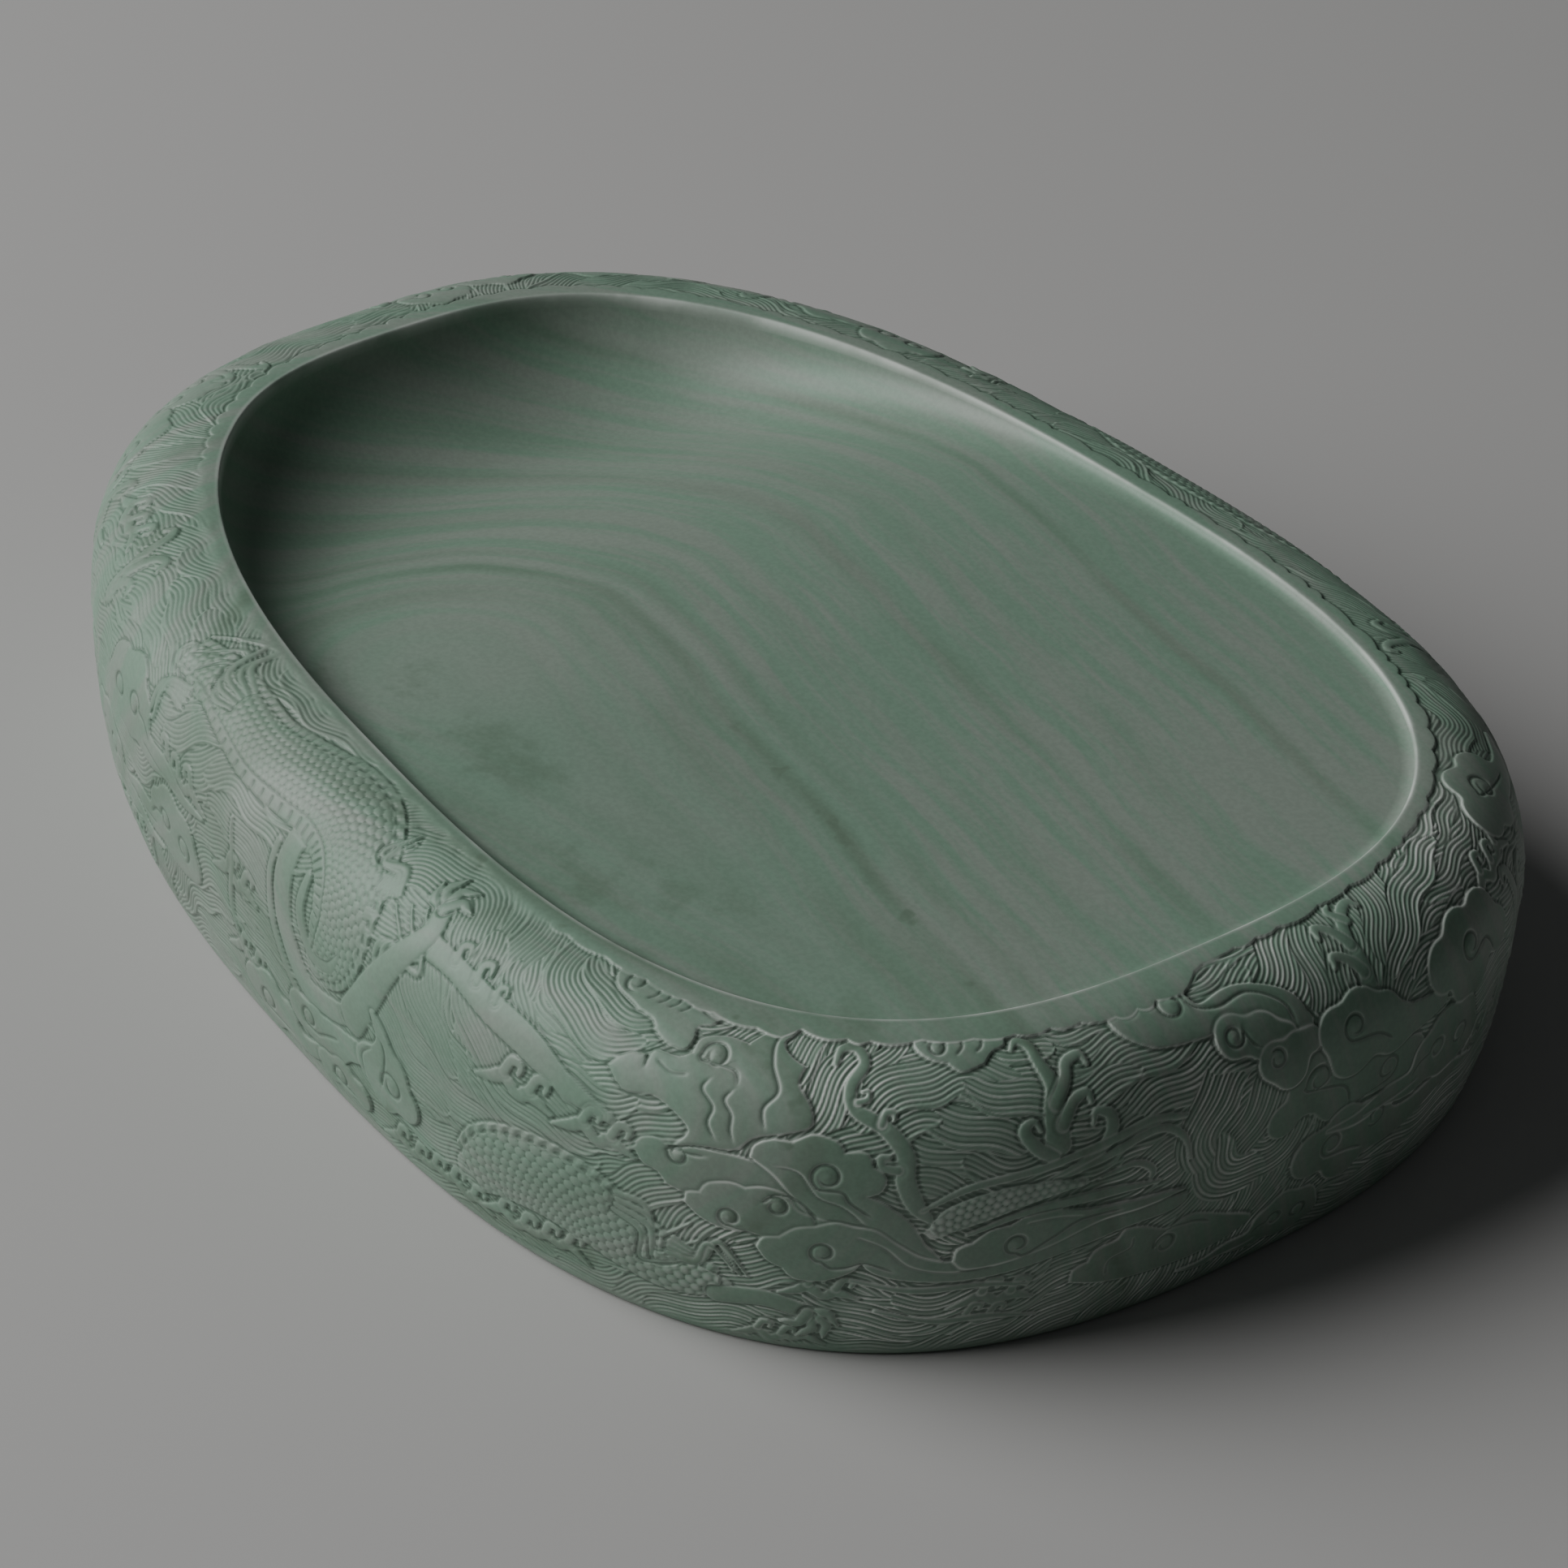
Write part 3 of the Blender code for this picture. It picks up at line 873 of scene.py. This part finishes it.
def gridNormals(points):
    ahead = np.roll(points, -1, 1) - np.roll(points, 1, 1)
    down = np.gradient(points, axis=0)
    normal = np.cross(down, ahead)
    return normal / np.linalg.norm(normal, axis=-1, keepdims=True)


def emptyHands():
    bpy.ops.object.select_all(action="DESELECT")


def hold(piece):
    emptyHands()
    piece.select_set(True)
    bpy.context.view_layer.objects.active = piece


def values(items, name, size=3, kind=float):
    # one value of every vertex, corner or face
    flat = np.empty(len(items) * size, kind)
    items.foreach_get(name, flat)
    return flat.reshape(-1, size) if size > 1 else flat


def chooseEdges(mesh, wanted):
    # selects the edges whose two ends pass a test, with the piece in edit mode
    bpy.ops.mesh.select_all(action="DESELECT")
    bpy.ops.object.mode_set(mode="OBJECT")
    for edge in mesh.edges:
        edge.select = wanted(*(mesh.vertices[v].co for v in edge.vertices))
    bpy.ops.object.mode_set(mode="EDIT")


def modelLength():
    # one flat length of wall as a closed strip: a fine front, a plain back and two ends
    columns = tiling["columns"]
    rows = tiling["rows"]
    bpy.ops.mesh.primitive_grid_add(x_subdivisions=columns, y_subdivisions=rows, size=1.0)
    piece = bpy.context.active_object
    near = 1e-6
    bpy.ops.object.mode_set(mode="EDIT")
    bpy.context.tool_settings.mesh_select_mode = (False, True, False)
    chooseEdges(piece.data, lambda a, b: abs(abs(a.y) - 0.5) < near and abs(a.y - b.y) < near)
    bpy.ops.mesh.bridge_edge_loops()
    for side in (-0.5, 0.5):
        chooseEdges(piece.data, lambda a, b: abs(a.x - side) < near and abs(b.x - side) < near)
        bpy.ops.mesh.edge_face_add()
    bpy.ops.object.mode_set(mode="OBJECT")
    return piece


def wallLengths(carved, normals, fields):
    model = modelLength()
    mesh = model.data
    flat = values(mesh.vertices, "co")
    column = np.rint((flat[:, 0] + 0.5) * tiling["columns"]).astype(int)
    row = np.rint((0.5 - flat[:, 1]) * tiling["rows"]).astype(int)
    front = tiling["columns"] * tiling["rows"]
    made = []
    for i in range(tiling["tiles"]):
        if i == 0:
            piece = model
        else:
            piece = bpy.data.objects.new("wall", mesh.copy())
            bpy.context.collection.objects.link(piece)
        piece.name = "carved_wall_" + str(i + 1)
        place = (column + i * tiling["columns"]) % gridColumns
        piece.data.vertices.foreach_set("co", carved[row, place].ravel())
        for name, field in fields.items():
            layer = piece.data.attributes.get(name) or piece.data.attributes.new(name, "FLOAT", "POINT")
            layer.data.foreach_set("value", field[row, place].astype(np.float32))
        finishLength(piece, normals[row, place], front)
        made.append(piece)
    return made


def finishLength(piece, normals, front):
    mesh = piece.data
    hold(piece)
    bpy.ops.object.mode_set(mode="EDIT")
    bpy.ops.mesh.select_all(action="SELECT")
    bpy.ops.mesh.normals_make_consistent(inside=False)
    bpy.ops.object.mode_set(mode="OBJECT")
    bpy.ops.object.shade_smooth()
    corner = values(mesh.loops, "vertex_index", 1, int)
    count = values(mesh.polygons, "loop_total", 1, int)
    faceNormals = np.repeat(values(mesh.polygons, "normal"), count, 0)
    chosen = normals[corner].copy()
    faceOf = np.repeat(np.arange(len(count)), count)
    chosen[faceOf >= front] = faceNormals[faceOf >= front]
    mesh.normals_split_custom_set(chosen)


def corePoints():
    # rings from the base, up to the smooth lip, over its edge and down into the basin
    s = gridS[::gridColumns // tiling["coreColumns"]]
    turn = turnAt(s)
    nx, ny = outlineNormal(turn)
    rings = [wallPoint(s, wallDepth + 0 * s)]
    for t in (1, 0.75, 0.5):
        rings.append(wallPoint(s, t + 0 * s))
    ex, ey, ez = wallPoint(s, 0 * s)
    wide = coveWidth(ex)

    def cove(inward):
        x = ex - nx * inward
        y = ey - ny * inward
        share = np.clip(inward / wide, 0, 1)
        fall = (1 - (1 - share) ** basin["covePower"]) ** (1 / basin["covePower"])
        return x, y, slab["height"] - floorDepth(x) * fall

    # the edge itself is rounded off between the lip and the cove
    lipX, lipY, lipZ = wallPoint(s, basin["edgeRadius"] + 0 * s)
    first = np.minimum(basin["edgeRadius"] * 0.5, 0.3 * wide)
    coveX, coveY, coveZ = cove(first)
    for k in range(basin["edgeRings"] + 1):
        q = k / basin["edgeRings"]
        mix = ((1 - q) ** 2, 2 * q * (1 - q), q * q)
        rings.append(tuple(a * mix[0] + b * mix[1] + c * mix[2] for a, b, c in ((lipX, ex, coveX),
            (lipY, ey, coveY), (lipZ, ez, coveZ))))
    for k in range(1, basin["coveRings"] + 1):
        q = 1 - math.cos(0.5 * math.pi * k / basin["coveRings"])
        rings.append(cove(first + (wide - first) * q))
    bottomX, bottomY = rings[-1][:2]
    for k in range(1, basin["floorRings"]):
        scale = 1 - k / basin["floorRings"]
        x = bottomX * scale
        rings.append((x, bottomY * scale, slab["height"] - floorDepth(x)))
    middle = slab["height"] - floorDepth(np.zeros(1))[0]
    rings.append((0 * s, 0 * s, middle + 0 * s))
    return np.array(rings).transpose(0, 2, 1) * metre


def lipAndBasin():
    points = corePoints()
    rows = len(points) - 1
    columns = tiling["coreColumns"]
    bpy.ops.mesh.primitive_grid_add(x_subdivisions=columns, y_subdivisions=rows, size=1.0)
    piece = bpy.context.active_object
    piece.name = "lip_and_basin"
    mesh = piece.data
    flat = values(mesh.vertices, "co")
    column = np.rint((flat[:, 0] + 0.5) * columns).astype(int) % columns
    row = np.rint((flat[:, 1] + 0.5) * rows).astype(int)
    mesh.vertices.foreach_set("co", points[row, column].ravel())
    # the edge between lip and basin gets a painted highlight along its crest
    crest = 0.70 * bell(row - 6.0, 2.4) * (row >= 3)
    layer = mesh.attributes.new("dustAndHighlight", "FLOAT", "POINT")
    layer.data.foreach_set("value", crest.astype(np.float32))
    bpy.ops.object.mode_set(mode="EDIT")
    bpy.ops.mesh.select_all(action="SELECT")
    bpy.ops.mesh.remove_doubles(threshold=1e-7)
    bpy.ops.mesh.select_all(action="DESELECT")
    bpy.ops.mesh.select_non_manifold()
    bpy.ops.mesh.edge_face_add()
    bpy.ops.mesh.select_all(action="SELECT")
    bpy.ops.mesh.normals_make_consistent(inside=False)
    bpy.ops.object.mode_set(mode="OBJECT")
    bpy.ops.object.shade_smooth_by_angle(angle=math.radians(40))
    return piece


def group(name, inputs, outputs):
    tree = bpy.data.node_groups.new(name, "ShaderNodeTree")
    for label, kind, value in inputs:
        socket = tree.interface.new_socket(name=label, in_out="INPUT", socket_type=kind)
        if value is not None:
            socket.default_value = value
    for label, kind in outputs:
        tree.interface.new_socket(name=label, in_out="OUTPUT", socket_type=kind)
    return tree, tree.nodes.new("NodeGroupInput"), tree.nodes.new("NodeGroupOutput")


def node(tree, kind, links=None, **settings):
    # a node with its settings and inputs; an input is a number or another node's output
    made = tree.nodes.new(kind)
    for key, value in settings.items():
        setattr(made, key, value)
    for key, value in (links or {}).items():
        if isinstance(value, bpy.types.NodeSocket):
            tree.links.new(value, made.inputs[key])
        else:
            made.inputs[key].default_value = value
    return made


def mapRange(tree, value, low, high, toLow=0.0, toHigh=1.0):
    made = node(tree, "ShaderNodeMapRange", {0: value, 1: low, 2: high, 3: toLow, 4: toHigh},
        interpolation_type="SMOOTHSTEP")
    return made.outputs[0]


def mixColour(tree, factor, a, b, kind="MIX"):
    made = node(tree, "ShaderNodeMix", {0: factor, 6: a, 7: b}, data_type="RGBA", blend_type=kind)
    return made.outputs[2]


def maths(tree, operation, a, b=0.0):
    return node(tree, "ShaderNodeMath", {0: a, 1: b}, operation=operation).outputs[0]


def times(tree, a, b):
    return maths(tree, "MULTIPLY", a, b)


def plus(tree, a, b):
    return maths(tree, "ADD", a, b)


def noise(tree, place, scale, detail, roughness=0.5):
    inputs = {"Vector": place, "Scale": scale, "Detail": detail, "Roughness": roughness}
    return node(tree, "ShaderNodeTexNoise", inputs).outputs[0]


# the stone's bands: each is a place across the grain in mm, how wide it is, and how dark
stoneBands = (
    (41.0, 1.1, 0.95), (38.2, 1.6, 0.45), (33.5, 2.4, 0.50), (46.2, 1.3, 0.45),
    (50.5, 1.6, 0.20), (58.0, 2.6, 0.22), (71.5, 1.6, 0.50), (82.0, 2.2, 0.20),
    (100.5, 1.0, 0.60), (24.0, 2.4, 0.22), (12.0, 2.0, 0.20),
)

stoneLook = {
    "grey": (0.268, 0.328, 0.276, 1.0),
    "green": (0.205, 0.325, 0.242, 1.0),
    "dark": (0.150, 0.222, 0.160, 1.0),
    "dustAndHighlight": (0.80, 0.84, 0.79, 1.0),
    # the cut colour is painted shade for the bottoms of the cuts
    "cut": (0.070, 0.120, 0.085, 1.0),
    "cutShade": 0.55,               # how far the bottoms of the cuts turn to the cut colour
    "wornShade": 0.06,
    "bandShade": 0.75,
    "fleckShade": 0.75,
    "blotchShade": 0.55,
    "thinPale": 0.38,               # what is left of the pale marks where they are thinnest
    "speckle": (0.955, 1.045),
    "bendX": 15.0,                  # the grain bends round the point -bendX, -bendY, in mm
    "bendY": 40.0,
    "straightPitch": 0.155,         # how fast it changes along the straight part
    "downPitch": 0.35,
    "waviness": 5.0,
    "fleckPlace": 41.5,             # across the grain
    "roughness": 0.44,
    "paleRoughness": 0.85,
    "grain": 0.07,
}


def grainGroup():
    # position across and along the stone's grain: straight at the broad end, bent round the pool
    inputs = [("Position", "NodeSocketVector", None), ("Waviness", "NodeSocketFloat", 2.0)]
    outputs = [("Across", "NodeSocketFloat"), ("Along", "NodeSocketFloat")]
    tree, inlet, outlet = group("stone grain", inputs, outputs)
    scaled = {0: inlet.outputs[0], 3: 1.0 / metre}
    place = node(tree, "ShaderNodeVectorMath", scaled, operation="SCALE").outputs[0]
    drift = noise(tree, place, 0.030, 2.0)
    split = node(tree, "ShaderNodeSeparateXYZ", {0: place}).outputs
    x = plus(tree, split[0], stoneLook["bendX"])
    y = plus(tree, split[1], stoneLook["bendY"])
    bent = node(tree, "ShaderNodeCombineXYZ", {0: maths(tree, "MINIMUM", x, 0.0), 1: y}).outputs[0]
    around = node(tree, "ShaderNodeVectorMath", {0: bent}, operation="LENGTH").outputs[1]
    straight = times(tree, maths(tree, "MAXIMUM", x, 0.0), stoneLook["straightPitch"])
    sway = times(tree, maths(tree, "SUBTRACT", drift, 0.5), inlet.outputs[1])
    across = plus(tree, plus(tree, around, straight), sway)
    across = plus(tree, across, times(tree, split[2], stoneLook["downPitch"]))
    tree.links.new(across, outlet.inputs[0])
    tree.links.new(split[0], outlet.inputs[1])
    return tree


def bandGroup():
    # darkness of the stone's bands and its fine streaks, from the position on the grain
    inputs = [("Across", "NodeSocketFloat", 0.0), ("Along", "NodeSocketFloat", 0.0)]
    outputs = [("Bands", "NodeSocketFloat"), ("Fine", "NodeSocketFloat")]
    tree, inlet, outlet = group("stone bands", inputs, outputs)
    across, lengthways = inlet.outputs[0], inlet.outputs[1]
    total = 0.0
    for i, (place, width, dark) in enumerate(stoneBands):
        gap = maths(tree, "ABSOLUTE", maths(tree, "SUBTRACT", across, place))
        band = mapRange(tree, gap, 0.0, 2.0 * width, dark, 0.0)
        spot = {0: times(tree, lengthways, 0.035), 1: 7.3 * i, 2: 0.0}
        patchy = noise(tree, node(tree, "ShaderNodeCombineXYZ", spot).outputs[0], 1.0, 1.0)
        band = times(tree, band, mapRange(tree, patchy, 0.30, 0.62, 0.25, 1.0))
        total = plus(tree, band, total)
    tree.links.new(total, outlet.inputs[0])
    spot = {0: times(tree, lengthways, 0.020), 1: times(tree, across, 0.33), 2: 0.0}
    fine = noise(tree, node(tree, "ShaderNodeCombineXYZ", spot).outputs[0], 1.0, 4.0, 0.62)
    tree.links.new(fine, outlet.inputs[1])
    return tree


def stoneMaterial():
    material = bpy.data.materials.new("stone")
    material.use_nodes = True
    tree = material.node_tree
    shader = tree.nodes["Principled BSDF"]
    place = node(tree, "ShaderNodeTexCoord").outputs["Object"]
    grain = node(tree, "ShaderNodeGroup", node_tree=grainGroup())
    tree.links.new(place, grain.inputs[0])
    grain.inputs[1].default_value = stoneLook["waviness"]
    across, lengthways = grain.outputs[0], grain.outputs[1]
    bands = node(tree, "ShaderNodeGroup", {0: across, 1: lengthways}, node_tree=bandGroup())
    # the fine streaks fade out towards the bend's middle
    streak = maths(tree, "SUBTRACT", bands.outputs[1], 0.5)
    streak = times(tree, streak, mapRange(tree, across, 14.0, 44.0))
    large = noise(tree, place, 20.0, 3.0)
    tone = plus(tree, times(tree, streak, 0.75), times(tree, large, 0.35))
    tone = mapRange(tree, plus(tree, tone, 0.325), 0.39, 0.59)
    base = mixColour(tree, tone, stoneLook["grey"], stoneLook["green"])
    shade = times(tree, bands.outputs[0], stoneLook["bandShade"])
    base = mixColour(tree, shade, base, stoneLook["dark"])
    # dark flecks along the strongest band, and faint blotches along the -Y side of the floor
    split = node(tree, "ShaderNodeSeparateXYZ", {0: place}).outputs
    near = maths(tree, "ABSOLUTE", maths(tree, "SUBTRACT", across, stoneLook["fleckPlace"]))
    near = mapRange(tree, near, 0.6, 2.6, 1.0, 0.0)
    near = times(tree, near, mapRange(tree, split[0], 0.012, 0.022))
    flecks = times(tree, near, mapRange(tree, noise(tree, place, 260.0, 2.0), 0.60, 0.68))
    flecks = times(tree, flecks, stoneLook["fleckShade"])
    side = mapRange(tree, split[1], -0.036, -0.044)
    side = times(tree, side, mapRange(tree, split[2], 0.0355, 0.0370))
    blotch = noise(tree, place, 75.0, 4.0, 0.65)
    blotch = mapRange(tree, blotch, 0.50, 0.66, 0.0, stoneLook["blotchShade"])
    shade = maths(tree, "MAXIMUM", flecks, times(tree, side, blotch))
    base = mixColour(tree, shade, base, stoneLook["dark"])
    fine = noise(tree, place, 1400.0, 3.0, 0.6)
    speck = mapRange(tree, fine, 0.35, 0.65, *stoneLook["speckle"])
    speck = node(tree, "ShaderNodeCombineColor", {0: speck, 1: speck, 2: speck}).outputs[0]
    base = mixColour(tree, 1.0, base, speck, "MULTIPLY")
    # pale dust on the rims and cut lines and painted highlight on the crests, more in some places than
    # others;
    # raised edges are worn, and the bottoms of the cuts get painted shade
    paleMark = node(tree, "ShaderNodeAttribute", attribute_name="dustAndHighlight").outputs["Fac"]
    uneven = noise(tree, place, 60.0, 4.0, 0.6)
    paleAmount = times(tree, paleMark, mapRange(tree, uneven, 0.39, 0.60, stoneLook["thinPale"], 1.0))
    base = mixColour(tree, paleAmount, base, stoneLook["dustAndHighlight"])
    wearAndCutShade = node(tree, "ShaderNodeAttribute", attribute_name="wearAndCutShade").outputs["Fac"]
    worn = mapRange(tree, wearAndCutShade, 0.05, 0.20, 0.0, stoneLook["wornShade"])
    base = mixColour(tree, worn, base, stoneLook["dustAndHighlight"])
    # painted shade: the bottoms of the cuts turn towards the dark cut colour
    cut = mapRange(tree, wearAndCutShade, -0.01, -0.07, 0.0, stoneLook["cutShade"])
    base = mixColour(tree, cut, base, stoneLook["cut"])
    tree.links.new(base, shader.inputs["Base Color"])
    rough = mapRange(tree, paleAmount, 0.0, 0.6, stoneLook["roughness"], stoneLook["paleRoughness"])
    tree.links.new(rough, shader.inputs["Roughness"])
    shader.inputs["Specular IOR Level"].default_value = 0.5
    inputs = {"Strength": stoneLook["grain"], "Distance": 0.0001, "Height": fine}
    bump = node(tree, "ShaderNodeBump", inputs)
    tree.links.new(bump.outputs[0], shader.inputs["Normal"])
    return material


studio = {
    "floor": (0.52, 0.515, 0.505, 1.0),
    "floorSize": 8.0,
    "sky": (0.95, 0.98, 1.0, 1.0),
    "keyPower": 24.6,
    "keySize": 1.5,
    "keyFrom": (-0.62, -0.78),
    "keyRise": 35.0,
    "keyReach": 1.5,
    "fill": 0.04,
}


def makeStage():
    bpy.ops.mesh.primitive_plane_add(size=studio["floorSize"], location=(0.0, 0.0, 0.0))
    floor = bpy.context.active_object
    floor.name = "table_top"
    material = bpy.data.materials.new("table")
    material.use_nodes = True
    shader = material.node_tree.nodes["Principled BSDF"]
    shader.inputs["Base Color"].default_value = studio["floor"]
    shader.inputs["Roughness"].default_value = 0.8
    floor.data.materials.append(material)
    rise = math.radians(studio["keyRise"])
    aside = Vector(studio["keyFrom"]).normalized()
    way = Vector((aside.x * math.cos(rise), aside.y * math.cos(rise), math.sin(rise)))
    bpy.ops.object.light_add(type="AREA", location=way * studio["keyReach"])
    key = bpy.context.active_object
    key.name = "key"
    key.rotation_euler = way.to_track_quat("Z", "Y").to_euler()
    key.data.shape = "DISK"
    key.data.size = studio["keySize"]
    key.data.energy = studio["keyPower"]
    world = bpy.data.worlds.new("room")
    bpy.context.scene.world = world
    world.use_nodes = True
    back = world.node_tree.nodes["Background"]
    back.inputs["Color"].default_value = studio["sky"]
    back.inputs["Strength"].default_value = studio["fill"]


viewpoint = {
    "azimuth": 50.95,
    "elevation": 34.58,
    "distance": 0.7021,
    "roll": 3.12,
    "aside": 0.00368,
    "below": 0.00558,
    "lens": 126.25,
    "height": 0.02,
}


def makeCamera():
    turn = math.radians(viewpoint["azimuth"])
    rise = math.radians(viewpoint["elevation"])
    level = math.cos(rise)
    back = Vector((math.sin(turn) * level, -math.cos(turn) * level, math.sin(rise)))
    right = Vector((math.cos(turn), math.sin(turn), 0.0))
    up = back.cross(right)
    target = Vector((0.0, 0.0, viewpoint["height"]))
    target = target + right * viewpoint["aside"] - up * viewpoint["below"]
    spin = Matrix.Rotation(math.radians(viewpoint["roll"]), 3, back)
    axes = Matrix((spin @ right, spin @ up, back)).transposed()
    data = bpy.data.cameras.new("camera")
    data.lens = viewpoint["lens"]
    data.sensor_width = 36.0
    data.clip_start = 0.01
    camera = bpy.data.objects.new("camera", data)
    camera.matrix_world = Matrix.Translation(target + back * viewpoint["distance"]) @ axes.to_4x4()
    bpy.context.collection.objects.link(camera)
    bpy.context.scene.camera = camera


carvedPoints, carvedNormals = placedWall()
# the height above its own blur: plus on raised edges, which are worn pale, minus in the cuts, which get
# painted shade
wearAndCutShadeField = height - soften(height, 3)
pieces = wallLengths(carvedPoints, carvedNormals, {"dustAndHighlight": dustAndHighlight, "wearAndCutShade": wearAndCutShadeField})
print("wall lengths made:", len(pieces))
pieces.append(lipAndBasin())
print("lip, basin and base made")
stone = stoneMaterial()
for piece in pieces:
    piece.data.materials.clear()
    piece.data.materials.append(stone)
    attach(piece, "root")
    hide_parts("inkstone")
makeStage()
makeCamera()
print("stage, light and camera placed")
